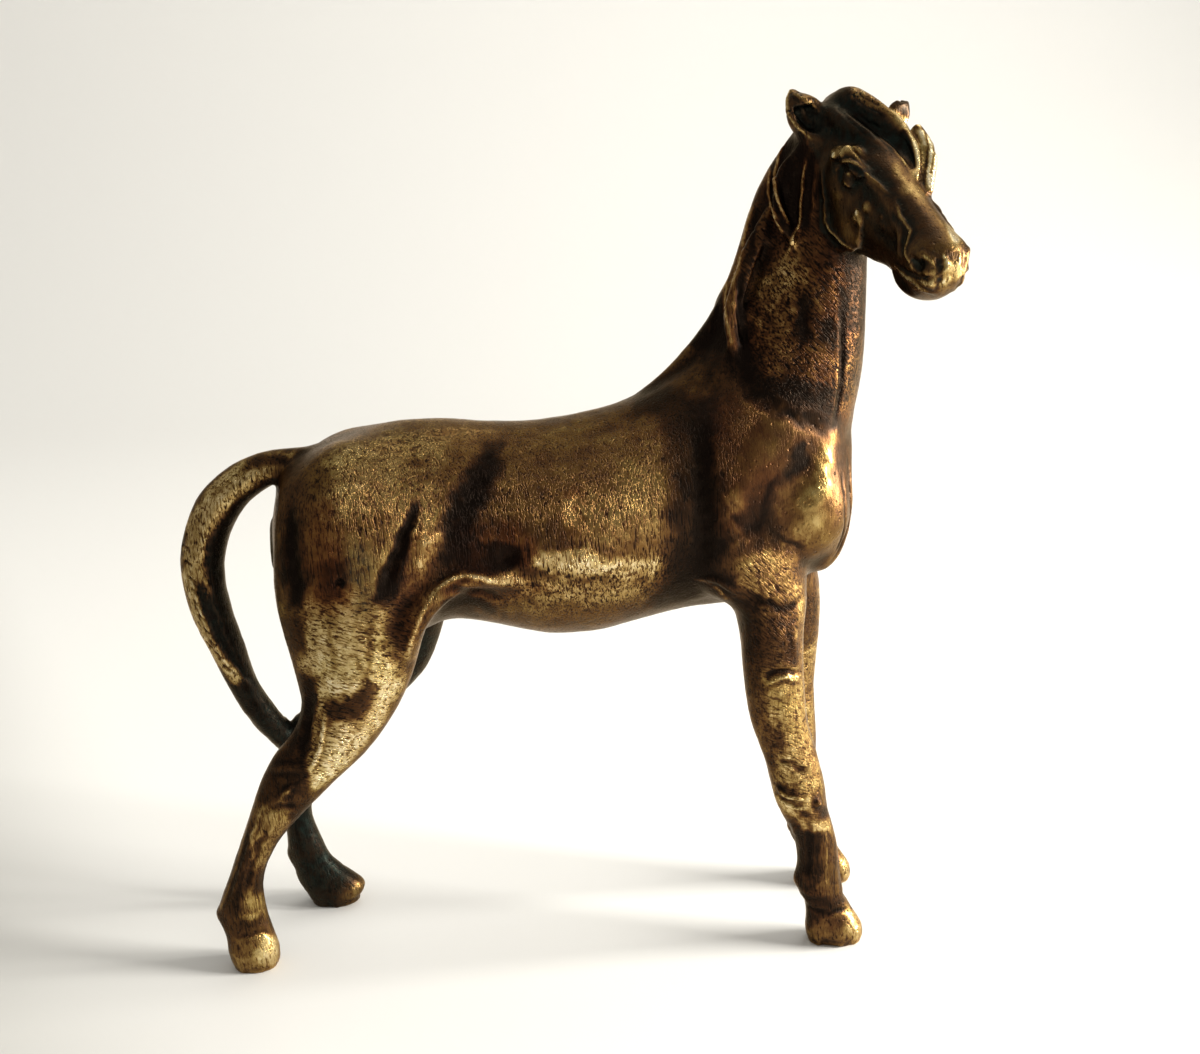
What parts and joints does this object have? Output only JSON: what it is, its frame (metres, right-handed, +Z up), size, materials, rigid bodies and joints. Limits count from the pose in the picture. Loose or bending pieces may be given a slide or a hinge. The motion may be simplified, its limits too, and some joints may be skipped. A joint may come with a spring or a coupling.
{
  "type": "horse statuette",
  "caption": "Standing horse statuette in solid cast bronze, with its head turned to the right and a long tail that arches down to the hock.",
  "frame": {"origin": "middle of the bounding box, on the ground plane that the hooves stand on", "axes": "+X forward, the way the chest faces; +Y to the horse's left; +Z up"},
  "size_m": [0.089, 0.035, 0.1066],
  "materials": {
    "bronze": "golden cast bronze, brushed by hand, with dark patina in the hollows and bright worn edges"
  },
  "bodies": {
    "root": {"horse": "bronze"}
  },
  "joints": []
}
